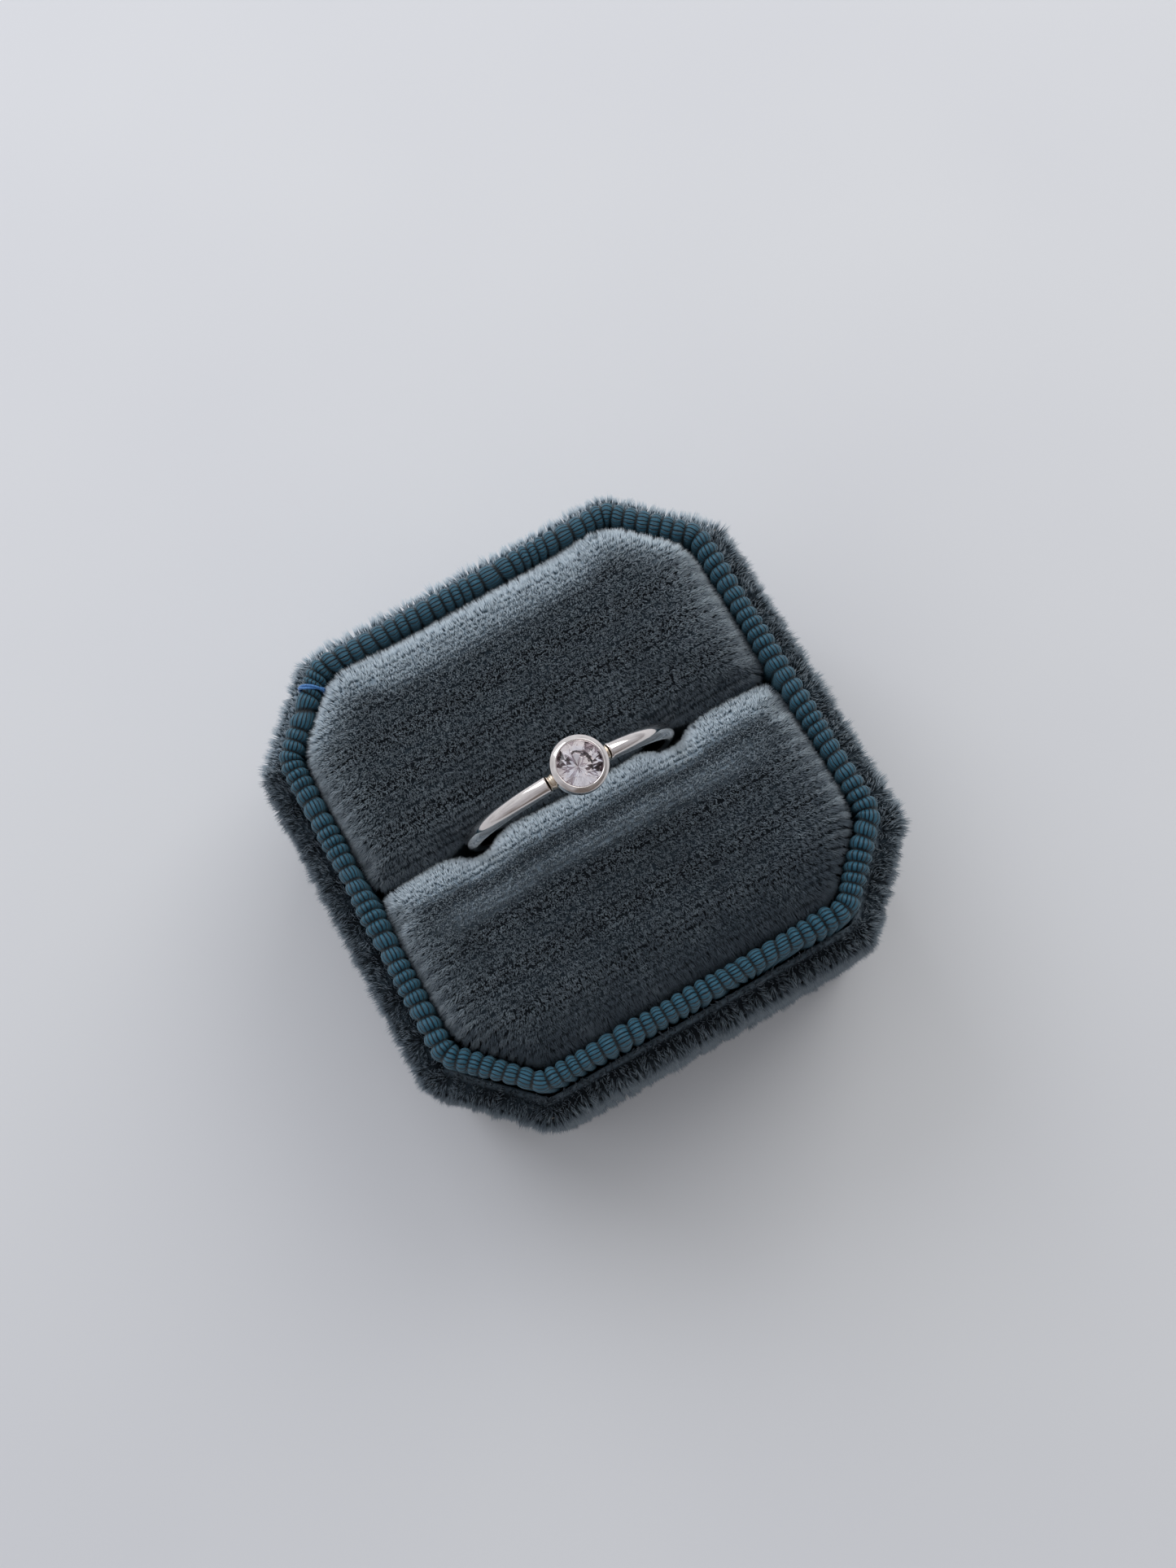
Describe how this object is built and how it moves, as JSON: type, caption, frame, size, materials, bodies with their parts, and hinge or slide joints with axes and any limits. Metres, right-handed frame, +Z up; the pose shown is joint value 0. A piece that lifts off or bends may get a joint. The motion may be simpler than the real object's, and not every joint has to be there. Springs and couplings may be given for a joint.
{
  "type": "ring box",
  "caption": "Open octagonal velvet ring box with a grosgrain-bound collar, a slit velvet cushion and a bezel-set solitaire ring standing in the slit.",
  "frame": {"origin": "centre of the underside, on the surface the box stands on", "axes": "+Z up out of the open box, X along the slit, +Y towards the rear pad, the side with the lap in the ribbon at its left corner"},
  "size_m": [0.049, 0.049, 0.0384],
  "materials": {
    "velvet": "matte",
    "grosgrain": "matte",
    "stitch_thread": "matte",
    "greyboard": "matte",
    "suede_paper": "matte",
    "pad_foam": "matte",
    "white_gold": "polished",
    "solder": "satin",
    "brilliant_stone": "polished"
  },
  "bodies": {
    "box": {"bottom_cover": "suede_paper", "bottom_board": "greyboard", "wall_board": "greyboard", "velvet_wrap": "velvet", "collar_board": "greyboard", "ribbon_trim": "grosgrain", "ribbon_stitch": "stitch_thread", "insert_card": "greyboard", "slot_strip": "pad_foam", "rear_pad_foam": "pad_foam", "front_pad_foam": "pad_foam", "rear_pad_cover": "velvet", "front_pad_cover": "velvet"},
    "ring": {"ring_band": "white_gold", "ring_solder": "solder", "ring_bezel": "white_gold", "ring_stone": "brilliant_stone"}
  },
  "joints": [
    {"name": "ring_lift", "type": "slide", "parent": "box", "child": "ring", "axis": [0, -0.1011, 0.9949], "range_m": [0, 0.03]}
  ]
}
